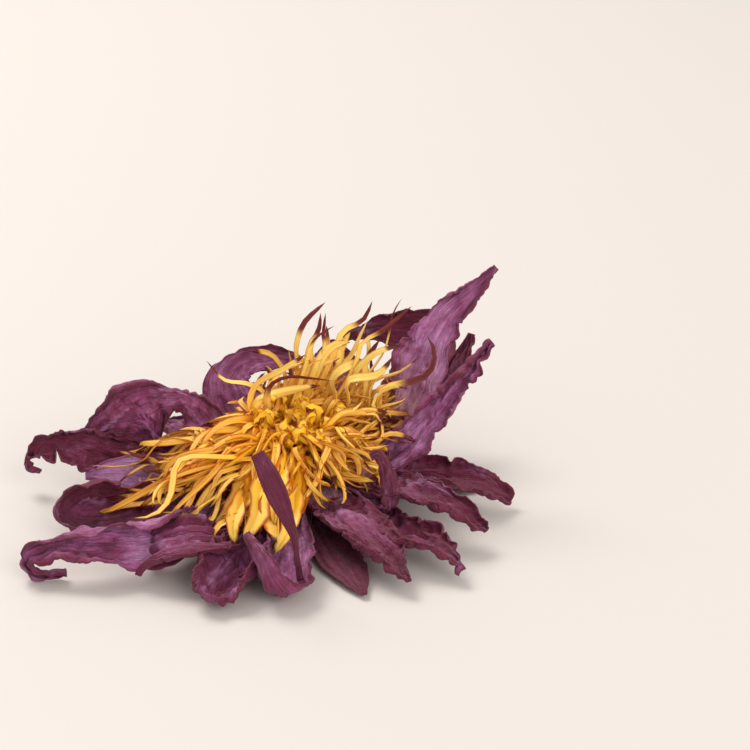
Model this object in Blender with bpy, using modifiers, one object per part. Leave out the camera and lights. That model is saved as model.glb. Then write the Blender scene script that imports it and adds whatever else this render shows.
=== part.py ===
"""A dried purple lotus (water lily) flower head, lying open on a table.

Four sepals and three turns of petals grow up the side of a cup-shaped ovary, with sheaves of
strap-shaped stamens above them and the stigma disc on top. Everything is laid out in millimetres
around the ovary's axis, +Z up, with the table at z = 0. At the end the whole flower is moved, so
that the centre of its footprint is at the origin.
"""

import math
from typing import NamedTuple

import bmesh
import bpy
from mathutils import Quaternion, Vector

MM = 0.001

# Driving sizes, in millimetres unless a name says otherwise.
OVARY_RADIUS = 7.6
OVARY_HEIGHT = 15.4
SCAR_RADIUS = 3.6  # the flat face where the flower was cut from its stem
FIT_GAP = 0.35  # between a piece and what it grows from
OVARY_TURNS = 24

PETAL_THICKNESS = 0.5
PETAL_ROWS = 10
PETAL_COLUMNS = 4
PETAL_BASE_SHARE = 0.34  # of the full width, where a petal leaves the ovary
PETAL_TIP_SHARE = 0.12

STAMEN_BASE_LOW = 11.2
STAMEN_BASE_HIGH = 15.2
STAMEN_BASE_DEPTH = 1.3
STAMEN_COLUMNS = 4
STAMEN_TIERS = 2
STAMEN_JOINTS = 4
STAMEN_WIDTH = 1.1
STAMEN_THICKNESS = 0.7
STAMEN_TIP_SHARE = 0.45
UPPER_STAMEN_REACH = 0.8  # of the lower stamens' reach
UPPER_STAMEN_RISE = 5.5
SHEAF_COUNT = 12
SHEAF_GAP_DEGREES = 5.0

DISC_RADIUS = 6.4
DISC_THICKNESS = 1.4
DISC_LOBES = 16
DISC_RIM = 1.4
DISC_HOLLOW = 0.6
LOBE_PATH = ((7.5, 17.2), (8.1, 18.5), (7.6, 19.8), (6.6, 20.5))  # radius, height
LOBE_HALF_WIDTHS = (0.95, 0.85, 0.7, 0.4)
LOBE_HALF_DEPTHS = (0.45, 0.35, 0.3, 0.2)


class Blade(NamedTuple):
    """A petal or sepal: its midrib, from the ovary to the tip, and how it lies across it."""

    midrib: tuple
    width: float
    turn: tuple = (0, 0, 0)  # degrees about the midrib at the base, the middle and the tip
    cup: tuple = (20, 25, 30)  # degrees that each half bends up, at the base, the middle and the tip


class Sheaf(NamedTuple):
    """A sheaf of stamens: how far out and up its lower ones end, and how high they arch."""

    reach: float
    height: float
    arch: float


# Azimuths run anticlockwise from +X, and the flower is looked at from -Y.
SEPALS = {
    "sepal_right": Blade(((7.4, 2.0, 2.4), (18, 4, 1.3), (30, 6, 0.8), (42, 8, 0.65)), 9, cup=(5, 5, 0)),
    "sepal_back": Blade(((-1.5, 7.6, 2.4), (-3, 18, 1.3), (-4, 30, 0.8), (-5, 41, 0.65)), 9, cup=(5, 5, 0)),
    "sepal_left": Blade(
        ((-7.4, -2.4, 2.4), (-18, -6, 1.3), (-29, -10, 0.8), (-40, -14, 0.65)), 9, cup=(5, 5, 0)
    ),
    "sepal_front": Blade(
        ((2.4, -7.4, 2.4), (6, -18, 1.3), (10, -29, 0.8), (14, -40, 0.65)), 9, cup=(5, 5, 0)
    ),
}

UPPER_PETALS = {
    "petal_tall": Blade(
        ((7.7, 2.4, 9.2), (15, 4.5, 9.4), (22, 6.5, 13), (28, 8, 22), (34, 9, 34), (40, 10, 47)),
        14,
        turn=(0, 25, 35),
        cup=(25, 30, 60),
    ),
    "petal_back_right": Blade(
        ((5.1, 6.3, 9.2), (10, 13.5, 10.4), (15.5, 20.5, 16), (21, 26.5, 24), (24, 31, 27), (27, 35, 25)),
        12,
    ),
    "petal_back": Blade(
        ((1.2, 8.0, 9.2), (1.8, 16.5, 9.8), (3, 25.5, 15), (4.5, 34, 21), (4.5, 40, 22), (3, 43.5, 18)),
        12,
        turn=(0, -10, -20),
    ),
    "petal_back_left": Blade(
        ((-3.2, 7.3, 9.2), (-6.5, 15, 11.5), (-12, 21, 17), (-14, 26, 21.5), (-10, 31, 22), (-4, 34, 18)),
        11,
        turn=(0, -15, -30),
    ),
    "petal_arched": Blade(
        ((-7.2, 3.8, 9.2), (-15, 9, 11), (-23, 12, 15.5), (-31, 12.5, 16.5), (-38, 13, 14), (-45, 14, 9)),
        14,
        turn=(0, 30, 30),
        cup=(20, 20, 20),
    ),
    "petal_front_left": Blade(
        ((-4.6, -6.5, 8.8), (-10, -15, 9.2), (-16, -24, 9), (-23, -31, 8), (-29, -35, 5)), 14
    ),
    "petal_hooked": Blade(
        ((6.2, -5.0, 8.8), (12, -9, 9), (18, -12, 9), (21, -13.5, 12), (20, -13.5, 17)), 7, cup=(15, 20, 30)
    ),
}

MIDDLE_PETALS = {
    "petal_ridged": Blade(
        ((8.0, -0.8, 7.2), (16, -1.0, 7.4), (25, -1, 9.6), (33, 1, 15), (38, 3, 23), (41, 4, 31)),
        13,
        turn=(0, 10, 20),
    ),
    "petal_right_back": Blade(
        ((6.6, 4.6, 6.8), (15, 10, 6.4), (25, 17, 7), (34, 23, 8), (41, 28, 5)), 14
    ),
    "petal_rear": Blade(
        ((-1.2, 8.0, 6.8), (-2, 18, 6.4), (-2, 29, 8), (-1, 39, 9), (1, 46, 6)), 14
    ),
    "petal_left_back": Blade(
        ((-5.8, 5.6, 6.8), (-13, 13, 6.4), (-21, 20, 8), (-29, 26, 9), (-35, 31, 6)), 14
    ),
    "petal_left": Blade(
        ((-8.0, 0.6, 6.8), (-19, 1.5, 6.6), (-30, 2.5, 7.2), (-39, 3.5, 10), (-47, 4, 11), (-55, 4, 7)),
        13,
        turn=(0, 10, 25),
        cup=(15, 20, 30),
    ),
    "petal_long_left": Blade(
        ((-6.4, -4.9, 6.7), (-14, -13, 6.9), (-23, -21, 6.4), (-34, -27, 6), (-45, -30, 5), (-52, -31, 2.6)),
        11,
        turn=(0, -10, -25),
        cup=(15, 25, 60),
    ),
    "petal_curled": Blade(
        ((-1.4, -7.9, 6.6), (-3, -18, 7.3), (-4, -28, 8), (-5, -38, 7.2), (-6, -46, 6)),
        11,
        turn=(0, -15, -60),
        cup=(15, 25, 60),
    ),
    "petal_front_right": Blade(
        ((3.6, -7.1, 6.7), (8, -17.5, 6.9), (13, -28, 7.4), (17.5, -37, 6), (21, -43, 3)), 13
    ),
    "petal_right_front": Blade(
        ((6.8, -4.4, 5.9), (16, -9.6, 5.2), (25, -15.5, 6), (34, -21.5, 6), (40.5, -26, 3)), 12
    ),
}

LOWER_PETALS = {
    "petal_low_right": Blade(
        ((8.0, 0.4, 4.4), (19, 0.5, 3.6), (30, -1, 3.4), (40, -3, 4), (47, -4, 2.2)), 13, cup=(10, 12, 15)
    ),
    "petal_low_back": Blade(
        ((3.4, 7.2, 4.4), (8, 17, 3.6), (13, 27, 3.6), (18, 36, 4), (21, 43, 2.2)), 13, cup=(10, 12, 15)
    ),
    "petal_low_back_left": Blade(
        ((-3.6, 7.1, 4.4), (-9, 17, 3.6), (-15, 27, 3.6), (-20, 35, 4), (-24, 42, 2.2)),
        13,
        cup=(10, 12, 15),
    ),
    "petal_low_left": Blade(
        ((-7.9, 0, 4.0), (-18, -0.5, 2.9), (-29, -2, 3.2), (-38, -3, 5.4), (-44, -3.5, 9)), 12, cup=(8, 12, 25)
    ),
    "petal_low_front_left": Blade(
        ((-6.8, -4.2, 5.4), (-17, -10, 4.9), (-28, -15, 4.4), (-38, -19, 4.2), (-46, -22, 2.4)),
        9,
        cup=(8, 12, 35),
    ),
    "petal_rolled": Blade(
        ((-3.4, -7.2, 4.4), (-7.5, -17, 3.7), (-12, -27, 3.7), (-15, -37, 4.6), (-16.5, -45, 6.5)),
        14,
        turn=(0, 10, 40),
        cup=(10, 25, 80),
    ),
    "petal_spike": Blade(
        (
            (1.4, -7.9, 4.2), (2.5, -19, 3.2), (4, -30, 2.6), (5.6, -37, 4),
            (2.4, -38, 11), (-2, -35, 19), (-7, -31, 27),
        ),
        6,
        cup=(5, 5, 5),
    ),
    "petal_low_front_right": Blade(
        ((5.6, -5.8, 4.4), (12, -14, 3.6), (20, -23, 3.6), (28, -31, 4), (33, -36, 2.2)),
        12,
        cup=(10, 12, 15),
    ),
}

# One sheaf for each twelfth of a turn, from +X round by the back.
SHEAVES = (
    Sheaf(19, 21, 3.0),
    Sheaf(17, 27, 3.5),
    Sheaf(14, 34, 4.0),
    Sheaf(14, 36, 4.0),
    Sheaf(14, 34, 4.0),
    Sheaf(20, 24, 3.5),
    Sheaf(28, 15, 2.0),
    Sheaf(38, 11, 2.5),
    Sheaf(33, 12, 2.5),
    Sheaf(25, 12, 2.5),
    Sheaf(20, 14, 2.5),
    Sheaf(21, 17, 2.5),
)


def clear_scene():
    for obj in list(bpy.data.objects):
        bpy.data.objects.remove(obj, do_unlink=True)


def make_material(name, colour, roughness):
    material = bpy.data.materials.new(name)
    material.use_nodes = True
    shader = material.node_tree.nodes["Principled BSDF"]
    shader.inputs["Base Color"].default_value = (*colour, 1)
    shader.inputs["Roughness"].default_value = roughness
    shader.inputs["Metallic"].default_value = 0
    return material


def add_object(name, bm, collection, parent, material):
    """Makes an object of the bmesh, whose points are in millimetres, and frees it."""
    bmesh.ops.scale(bm, vec=(MM, MM, MM), verts=bm.verts)
    mesh = bpy.data.meshes.new(name)
    bm.to_mesh(mesh)
    bm.free()
    mesh.materials.append(material)
    obj = bpy.data.objects.new(name, mesh)
    collection.objects.link(obj)
    obj.parent = parent
    return obj


def through(points, share):
    """The point at this share of the way along a smooth curve through the points."""
    spans = len(points) - 1
    span = min(int(share * spans), spans - 1)
    t = share * spans - span
    before, start, end, after = (
        Vector(points[max(0, min(spans, span + step))]) for step in (-1, 0, 1, 2)
    )
    return (
        start * 2
        + (end - before) * t
        + (before * 2 - start * 5 + end * 4 - after) * t**2
        + (start * 3 - before - end * 3 + after) * t**3
    ) / 2


def between(values, share):
    """The value at this share of the way along the values given at the base, the middle and the tip."""
    return through([(value, 0, 0) for value in values], share).x


def directions_along(points):
    """The direction of the midrib at each of its points, and the direction across the blade there.

    Across starts level at the ovary, and turns only as the midrib bends.
    """
    tangents = [
        (points[min(i + 1, len(points) - 1)] - points[max(i - 1, 0)]).normalized()
        for i in range(len(points))
    ]
    across = Vector((0, 0, 1)).cross(tangents[0]).normalized()
    found = [across]
    for before, after in zip(tangents, tangents[1:], strict=False):
        across = before.rotation_difference(after) @ across
        found.append((across - after * across.dot(after)).normalized())
    return tangents, found


def half_width(blade, share):
    """Half the blade's width: narrow at the ovary, widest past the middle, pointed at the tip."""
    outline = math.sin(math.pi * share**0.85) ** 0.8
    least = PETAL_BASE_SHARE + (PETAL_TIP_SHARE - PETAL_BASE_SHARE) * share
    return blade.width / 2 * max(outline, least)


def add_blade(name, blade, collection, parent, material):
    """A petal or sepal: a grid bent along its midrib and cupped across it, then given its thickness."""
    bm = bmesh.new()
    bmesh.ops.create_grid(bm, x_segments=PETAL_ROWS, y_segments=PETAL_COLUMNS, size=1)
    ribs = [through(blade.midrib, row / PETAL_ROWS) for row in range(PETAL_ROWS + 1)]
    tangents, sides = directions_along(ribs)
    for vert in bm.verts:
        row = round((vert.co.x + 1) / 2 * PETAL_ROWS)
        share = row / PETAL_ROWS
        side = Quaternion(tangents[row], math.radians(between(blade.turn, share))) @ sides[row]
        face = tangents[row].cross(side)
        half = half_width(blade, share)
        bend = max(math.radians(between(blade.cup, share)), 0.01)
        radius = half / bend
        angle = vert.co.y * bend
        vert.co = ribs[row] + side * (radius * math.sin(angle)) + face * (radius * (1 - math.cos(angle)))
    obj = add_object(name, bm, collection, parent, material)
    thickness = obj.modifiers.new("thickness", "SOLIDIFY")
    thickness.thickness = PETAL_THICKNESS * MM
    thickness.offset = 0
    obj.data.shade_smooth()
    return obj


def add_ovary(collection, parent, material):
    """The ovary with the flower's base, turned about its axis. Its profile runs down the outer side."""
    profile = [
        (0, OVARY_HEIGHT),
        (OVARY_RADIUS - 0.8, OVARY_HEIGHT),
        (OVARY_RADIUS, OVARY_HEIGHT - 0.8),
        (OVARY_RADIUS, 5.5),
        (OVARY_RADIUS - 0.9, 2.4),
        (SCAR_RADIUS + 0.6, 0.4),
        (SCAR_RADIUS, 0),
        (0, 0),
    ]
    mesh = bpy.data.meshes.new("ovary")
    points = [(radius * MM, 0, height * MM) for radius, height in profile]
    mesh.from_pydata(points, [(i, i + 1) for i in range(len(points) - 1)], [])
    mesh.materials.append(material)
    ovary = bpy.data.objects.new("ovary", mesh)
    collection.objects.link(ovary)
    ovary.parent = parent
    turned = ovary.modifiers.new("turned", "SCREW")
    turned.steps = OVARY_TURNS
    turned.render_steps = OVARY_TURNS
    turned.use_merge_vertices = True
    turned.merge_threshold = 0.00001
    turned.use_smooth_shade = True


def draw_out(bm, face, path, half_widths, half_depths):
    """Draws the face out along a path of (radius, height) points in the upright plane through it.

    The path starts at the face. At each later point the end is a rectangle square to the path, with
    the half width and half depth given for it.
    """
    outward = Vector((*face.calc_center_median().xy, 0)).normalized()
    across = Vector((-outward.y, outward.x, 0))
    points = [outward * radius + Vector((0, 0, height)) for radius, height in path]
    up = Vector((0, 0, 1))
    for i in range(1, len(points)):
        centre = face.calc_center_median()
        end = bmesh.ops.extrude_discrete_faces(bm, faces=[face])["faces"][0]
        ahead = points[min(i + 1, len(points) - 1)] - points[i - 1]
        next_up = ahead.cross(across).normalized()
        for vert in end.verts:
            place = vert.co - centre
            aside = math.copysign(half_widths[i - 1], place.dot(across))
            above = math.copysign(half_depths[i - 1], place.dot(up))
            vert.co = points[i] + across * aside + next_up * above
        face, up = end, next_up


def add_sheaf(index, sheaf, collection, parent, material):
    """Stamens drawn out, one from each face, from a strip that lies against the ovary."""
    sector = 2 * math.pi / SHEAF_COUNT
    middle = index * sector
    spread = sector - math.radians(SHEAF_GAP_DEGREES)
    inner = OVARY_RADIUS + FIT_GAP
    outer = inner + STAMEN_BASE_DEPTH
    bm = bmesh.new()
    bmesh.ops.create_grid(bm, x_segments=STAMEN_COLUMNS, y_segments=STAMEN_TIERS, size=1)
    for vert in bm.verts:
        azimuth = middle + vert.co.x * spread / 2
        height = STAMEN_BASE_LOW + (vert.co.y + 1) / 2 * (STAMEN_BASE_HIGH - STAMEN_BASE_LOW)
        vert.co = (outer * math.cos(azimuth), outer * math.sin(azimuth), height)
    outward = list(bm.faces)
    backs = bmesh.ops.extrude_face_region(bm, geom=outward, use_keep_orig=True)["geom"]
    for vert in backs:
        if isinstance(vert, bmesh.types.BMVert):
            vert.co.xy *= inner / outer
    bmesh.ops.recalc_face_normals(bm, faces=bm.faces)
    bmesh.ops.inset_individual(bm, faces=outward, thickness=0.12)
    for face in outward:
        draw_stamen(bm, face, sheaf)
    return add_object(f"stamens_{index + 1:02d}", bm, collection, parent, material)


def draw_stamen(bm, face, sheaf):
    """One stamen: a strap that leaves the strip outwards, arches, and narrows to its tip."""
    start = face.calc_center_median()
    is_upper = start.z > (STAMEN_BASE_LOW + STAMEN_BASE_HIGH) / 2
    base = math.hypot(start.x, start.y)
    reach = base + (sheaf.reach - base) * (UPPER_STAMEN_REACH if is_upper else 1)
    height = sheaf.height + (UPPER_STAMEN_RISE if is_upper else 0)
    crest = (base + (reach - base) * 0.45, start.z + (height - start.z) * 0.3 + sheaf.arch)
    path = []
    for joint in range(STAMEN_JOINTS + 1):
        t = joint / STAMEN_JOINTS
        path.append(
            (
                (1 - t) ** 2 * base + 2 * t * (1 - t) * crest[0] + t**2 * reach,
                (1 - t) ** 2 * start.z + 2 * t * (1 - t) * crest[1] + t**2 * height,
            )
        )
    tapers = [1 + (STAMEN_TIP_SHARE - 1) * joint / STAMEN_JOINTS for joint in range(1, STAMEN_JOINTS + 1)]
    draw_out(
        bm,
        face,
        path,
        [STAMEN_WIDTH / 2 * taper for taper in tapers],
        [STAMEN_THICKNESS / 2 * taper for taper in tapers],
    )


def add_stigma_disc(collection, parent, material):
    """The disc on the ovary, hollowed on top, with a ring of short lobes that curl up and inwards."""
    bm = bmesh.new()
    bmesh.ops.create_cone(
        bm, cap_ends=True, segments=DISC_LOBES, radius1=DISC_RADIUS, radius2=DISC_RADIUS, depth=DISC_THICKNESS
    )
    middle = OVARY_HEIGHT + FIT_GAP + DISC_THICKNESS / 2
    bmesh.ops.translate(bm, vec=(0, 0, middle), verts=bm.verts)
    bm.normal_update()
    sides = [face for face in bm.faces if abs(face.normal.z) < 0.5]
    top = next(face for face in bm.faces if face.normal.z > 0.5)
    bmesh.ops.inset_region(bm, faces=[top], thickness=DISC_RIM)
    bmesh.ops.translate(bm, vec=(0, 0, -DISC_HOLLOW), verts=top.verts)
    bmesh.ops.inset_individual(bm, faces=sides, thickness=0.15)
    for face in sides:
        start = face.calc_center_median()
        path = [(math.hypot(start.x, start.y), start.z), *LOBE_PATH]
        draw_out(bm, face, path, LOBE_HALF_WIDTHS, LOBE_HALF_DEPTHS)
    return add_object("stigma_disc", bm, collection, parent, material)


def centre_footprint(flower, collection):
    """Moves the flower so that the middle of its box lies over the origin, at the table's height."""
    bpy.context.view_layer.update()
    graph = bpy.context.evaluated_depsgraph_get()
    corners = []
    for obj in collection.objects:
        if obj.type != "MESH":
            continue
        evaluated = obj.evaluated_get(graph)
        corners += [evaluated.matrix_world @ vert.co for vert in evaluated.data.vertices]
    low = [min(corner[axis] for corner in corners) for axis in range(3)]
    high = [max(corner[axis] for corner in corners) for axis in range(3)]
    flower.location = (-(low[0] + high[0]) / 2, -(low[1] + high[1]) / 2, -low[2])
    bpy.context.view_layer.update()


def main():
    clear_scene()
    collection = bpy.data.collections.new("lotus_flower")
    bpy.context.scene.collection.children.link(collection)
    flower = bpy.data.objects.new("flower_axis", None)
    collection.objects.link(flower)

    petal_purple = make_material("petal_purple", (0.105, 0.028, 0.075), 0.6)
    sepal_plum = make_material("sepal_plum", (0.055, 0.02, 0.035), 0.65)
    stamen_yellow = make_material("stamen_yellow", (0.72, 0.34, 0.05), 0.55)
    disc_amber = make_material("disc_amber", (0.6, 0.25, 0.03), 0.5)
    ovary_brown = make_material("ovary_brown", (0.13, 0.08, 0.035), 0.7)

    add_ovary(collection, flower, ovary_brown)
    add_stigma_disc(collection, flower, disc_amber)
    for name, blade in SEPALS.items():
        add_blade(name, blade, collection, flower, sepal_plum)
    for turn in (LOWER_PETALS, MIDDLE_PETALS, UPPER_PETALS):
        for name, blade in turn.items():
            add_blade(name, blade, collection, flower, petal_purple)
    for index, sheaf in enumerate(SHEAVES):
        add_sheaf(index, sheaf, collection, flower, stamen_yellow)
    centre_footprint(flower, collection)


main()
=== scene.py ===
"""A dried purple lotus flower: crumpled petals, strap-shaped stamens and the stigma disc."""

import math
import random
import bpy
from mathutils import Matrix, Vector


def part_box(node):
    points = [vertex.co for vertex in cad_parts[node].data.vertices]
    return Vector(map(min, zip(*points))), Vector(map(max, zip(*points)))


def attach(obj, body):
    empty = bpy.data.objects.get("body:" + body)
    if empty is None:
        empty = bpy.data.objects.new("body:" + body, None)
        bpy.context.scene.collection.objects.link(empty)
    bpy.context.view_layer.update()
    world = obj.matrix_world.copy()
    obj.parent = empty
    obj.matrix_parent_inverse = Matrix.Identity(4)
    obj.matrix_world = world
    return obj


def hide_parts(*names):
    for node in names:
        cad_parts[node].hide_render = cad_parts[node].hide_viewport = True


bl_info = {
    "name": "Dried Lotus Flower",
    "version": (1, 0, 0),
    "blender": (4, 5, 0),
    "location": "View3D > Sidebar > Lotus",
    "description": "Builds a dried lotus flower head on its packed frame, with its finishes and stage",
    "category": "Object",
}

from typing import NamedTuple

import bpy
import numpy as np
from mathutils import Vector, noise

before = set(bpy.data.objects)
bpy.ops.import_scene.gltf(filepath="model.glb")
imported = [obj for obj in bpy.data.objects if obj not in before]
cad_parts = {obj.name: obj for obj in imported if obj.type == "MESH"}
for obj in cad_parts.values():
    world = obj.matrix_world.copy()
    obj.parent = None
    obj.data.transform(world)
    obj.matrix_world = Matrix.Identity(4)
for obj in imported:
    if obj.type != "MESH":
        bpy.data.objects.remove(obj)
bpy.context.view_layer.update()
MM = 0.001
OVARY_LOW, OVARY_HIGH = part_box("ovary")
AXIS = np.array([(OVARY_LOW[0] + OVARY_HIGH[0]) / 2, (OVARY_LOW[1] + OVARY_HIGH[1]) / 2, 0.0])
OVARY_RADIUS = (OVARY_HIGH[0] - OVARY_LOW[0]) / 2 / MM


# ---------------------------------------------------------------- settings


class FlowerSizes(bpy.types.PropertyGroup):
    """Sizes that the whole flower shares."""

    petal_thickness: bpy.props.FloatProperty(
        name="Petal Thickness", description="Thickness of a dry petal", default=0.00024, unit="LENGTH"
    )
    petal_rows: bpy.props.IntProperty(
        name="Petal Rows", description="Strips of faces along a petal", default=110, min=20, max=200
    )
    petal_columns: bpy.props.IntProperty(
        name="Petal Columns", description="Strips of faces across a petal", default=36, min=8, max=80
    )
    stamen_width: bpy.props.FloatProperty(
        name="Stamen Width", description="Width of a common stamen's strap", default=0.00126, unit="LENGTH"
    )
    disc_thickness: bpy.props.FloatProperty(
        name="Disc Thickness", description="Thickness of the stigma disc", default=0.0007, unit="LENGTH"
    )
    disc_rays: bpy.props.IntProperty(
        name="Disc Rays", description="Rays of the stigma disc", default=18, min=8, max=30
    )
    ovary_ribs: bpy.props.IntProperty(
        name="Ovary Ribs", description="Ribs down the ovary", default=18, min=0, max=40
    )


def colour(name, description, default):
    return bpy.props.FloatVectorProperty(
        name=name, description=description, subtype="COLOR", size=3, default=default
    )


class FlowerColours(bpy.types.PropertyGroup):
    """Colours of the dry flower."""

    # Petal Dark also serves as painted shade: in the folds' valleys, along the wrinkles and on the
    # rolled-over edges.
    petal_dark: colour("Petal Dark", "Petals where they are shrunk and dark", (0.145, 0.012, 0.042))
    petal_purple: colour("Petal Purple", "Most of a petal", (0.46, 0.122, 0.325))
    # Petal Lilac also lightens the folds' ridges: partly their own paler colour, partly a painted highlight.
    petal_lilac: colour("Petal Lilac", "Smooth, paler parts of a petal", (0.78, 0.43, 0.77))
    petal_blush: colour("Petal Blush", "The petals' pale foot", (0.90, 0.55, 0.62))
    # Gold on the straps' raised bands, ochre in their grooves and along their edges: the ochre there is
    # partly the strap's own colour, partly painted shade; ochre also colours random patches and oranger
    # stamens.
    stamen_gold: colour("Stamen Gold", "Ridges of the stamens", (0.93, 0.59, 0.10))
    stamen_ochre: colour("Stamen Ochre", "Grooves of the stamens", (0.66, 0.115, 0.001))
    stamen_yellow: colour("Stamen Yellow", "Broad feet of the stamens", (0.95, 0.53, 0.006))
    stamen_tip: colour("Stamen Tip", "Tips of the outer stamens", (0.13, 0.014, 0.014))
    # Stamen Rim along the straps' edges is partly their own orange edge, partly painted shade.
    stamen_rim: colour("Stamen Rim", "Thin edges of the stamens", (0.42, 0.036, 0.001))
    # Painted backlight: the tall stamens at the back are made paler, as if lit through from behind.
    stamen_backlit_pale: colour("Stamen Pale", "The tall stamens, which are paler", (0.95, 0.68, 0.18))
    disc_amber: colour("Disc Amber", "The stigma disc between its lobes", (0.36, 0.085, 0.006))
    ovary_brown: colour("Ovary Brown", "The ovary and the flower's base", (0.13, 0.075, 0.03))
    ovary_light: colour("Ovary Light", "Paler patches of the ovary", (0.22, 0.11, 0.035))
    ovary_dark: colour("Ovary Dark", "Specks on the ovary", (0.04, 0.022, 0.012))
    floor: colour("Floor", "The pale surface that the flower lies on", (0.635, 0.592, 0.558))


class StageSettings(bpy.types.PropertyGroup):
    """Where the flower is looked at from, and its light."""

    elevation: bpy.props.FloatProperty(
        name="Camera Elevation",
        description="Angle above the floor",
        default=math.radians(24),
        subtype="ANGLE",
    )
    distance: bpy.props.FloatProperty(
        name="Camera Distance", description="From the point looked at", default=0.417, unit="LENGTH"
    )
    lens: bpy.props.FloatProperty(name="Lens", description="Focal length in mm", default=100.0)
    target: bpy.props.FloatVectorProperty(
        name="Target", description="Point looked at, from the ovary's foot", size=3, subtype="TRANSLATION",
        default=(0.016, 0.0, 0.0282),
    )
    sky: bpy.props.FloatProperty(
        name="Sky", description="Strength of the light from all round", default=0.73
    )
    key_energy: bpy.props.FloatProperty(
        name="Key Light", description="Power of the main light in W", default=9.9
    )


# ---------------------------------------------------------------- shader helpers


class Wire:
    """A node's output, with the arithmetic that adds Math nodes."""

    def __init__(self, finish, socket):
        self.finish = finish
        self.socket = socket

    def maths(self, operation, *values):
        return self.finish.node("ShaderNodeMath", {"operation": operation}, dict(enumerate(values)))

    def __add__(self, other):
        return self.maths("ADD", self, other)

    def __sub__(self, other):
        return self.maths("SUBTRACT", self, other)

    def __rsub__(self, other):
        return self.maths("SUBTRACT", other, self)

    def __mul__(self, other):
        return self.maths("MULTIPLY", self, other)

    def __pow__(self, other):
        return self.maths("POWER", self, other)

    def size(self):
        return self.maths("ABSOLUTE", self)

    def sine(self):
        return self.maths("SINE", self)


class Finish:
    """A material under construction, with one Principled shader."""

    def __init__(self, name, **constants):
        self.material = bpy.data.materials.new(name)
        self.material.use_nodes = True
        self.tree = self.material.node_tree
        self.shader = self.tree.nodes["Principled BSDF"]
        for socket, value in constants.items():
            self.shader.inputs[socket.replace("_", " ")].default_value = value

    def node(self, kind, settings=None, inputs=None, output=0):
        """Adds a node: its settings first, then its sockets' values or links."""
        made = self.tree.nodes.new(kind)
        for setting, value in (settings or {}).items():
            if setting == "stops":
                ramp = made.color_ramp
                while len(ramp.elements) < len(value):
                    ramp.elements.new(0.5)
                for element, (place, colour) in zip(ramp.elements, value, strict=True):
                    element.position = place
                    element.color = (*colour, 1)
            else:
                setattr(made, setting, value)
        for socket, value in (inputs or {}).items():
            self.plug(made.inputs[socket], value)
        return Wire(self, made.outputs[output])

    def plug(self, socket, value):
        if isinstance(value, Wire):
            self.tree.links.new(value.socket, socket)
        elif socket.type == "RGBA" and len(value) == 3:
            socket.default_value = (*value, 1)
        else:
            socket.default_value = value

    def place(self):
        return self.node("ShaderNodeTexCoord", output="Object")

    def laid_flat(self):
        """The place on the piece's flat grid, from 0 to 1 along X and along Y."""
        return self.node("ShaderNodeUVMap", {"uv_map": "UVMap"})

    def uv(self):
        """Along and across the piece, each from 0 to 1."""
        split = self.node("ShaderNodeSeparateXYZ", {}, {0: self.laid_flat()})
        return split, Wire(self, split.socket.node.outputs[1])

    def attribute(self, name):
        return self.node("ShaderNodeAttribute", {"attribute_name": name}, output="Fac")

    def stretched(self, vector, scale):
        return self.node("ShaderNodeMapping", {}, {"Vector": vector, "Scale": scale})

    def cloud(self, vector, scale, detail=4.0, roughness=0.55, distortion=0.0):
        """Soft noise around a half; the scale says about how many features a unit of the vector holds."""
        inputs = {"Vector": vector, "Scale": scale, "Detail": detail, "Roughness": roughness}
        return self.node("ShaderNodeTexNoise", {}, {**inputs, "Distortion": distortion})

    def spread(self, wire, low, high, to_low=0.0, to_high=1.0):
        """The value taken from one range to another, smoothly and no further."""
        inputs = {"Value": wire, 1: low, 2: high, 3: to_low, 4: to_high}
        return self.node("ShaderNodeMapRange", {"interpolation_type": "SMOOTHSTEP"}, inputs)

    def mix(self, factor, first, second, blend="MIX"):
        settings = {"data_type": "RGBA", "blend_type": blend, "clamp_factor": True}
        return self.node("ShaderNodeMix", settings, {0: factor, 6: first, 7: second}, output=2)

    def bump(self, height, distance, strength=1.0):
        self.plug(
            self.shader.inputs["Normal"],
            self.node("ShaderNodeBump", {}, {"Height": height, "Distance": distance, "Strength": strength}),
        )

    def finished(self, colour, roughness):
        self.plug(self.shader.inputs["Base Color"], colour)
        self.plug(self.shader.inputs["Roughness"], roughness)
        return self.material


# ---------------------------------------------------------------- shape helpers


CURVE_STEPS = 240  # along a smooth curve, when its length is measured


def deselect_all():
    bpy.ops.object.select_all(action="DESELECT")


def select_alone(piece):
    deselect_all()
    piece.select_set(True)
    bpy.context.view_layer.objects.active = piece


def noise_at(x, y, z):
    return noise.noise(Vector((x, y, z)))


def fold_at(x, y, z):
    """Noise with sharp ridges, where 1 is a ridge's top."""
    return 1 - 2 * abs(noise_at(x, y, z))


def through(points, share):
    """The point at this share of the way along a smooth curve through the points."""
    points = np.asarray(points, float)
    spans = len(points) - 1
    span = min(int(share * spans), spans - 1)
    t = share * spans - span
    before, start, end, after = (points[max(0, min(spans, span + step))] for step in (-1, 0, 1, 2))
    return (
        start * 2
        + (end - before) * t
        + (before * 2 - start * 5 + end * 4 - after) * t**2
        + (start * 3 - before - end * 3 + after) * t**3
    ) / 2


def evenly_along(points, count):
    """Points at equal steps of length along the smooth curve through the points."""
    dense = np.array([through(points, i / CURVE_STEPS) for i in range(CURVE_STEPS + 1)])
    lengths = np.concatenate([[0], np.cumsum(np.linalg.norm(np.diff(dense, axis=0), axis=1))])
    wanted = np.linspace(0, lengths[-1], count)
    return np.column_stack([np.interp(wanted, lengths, dense[:, axis]) for axis in range(3)]), lengths[-1]


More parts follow.
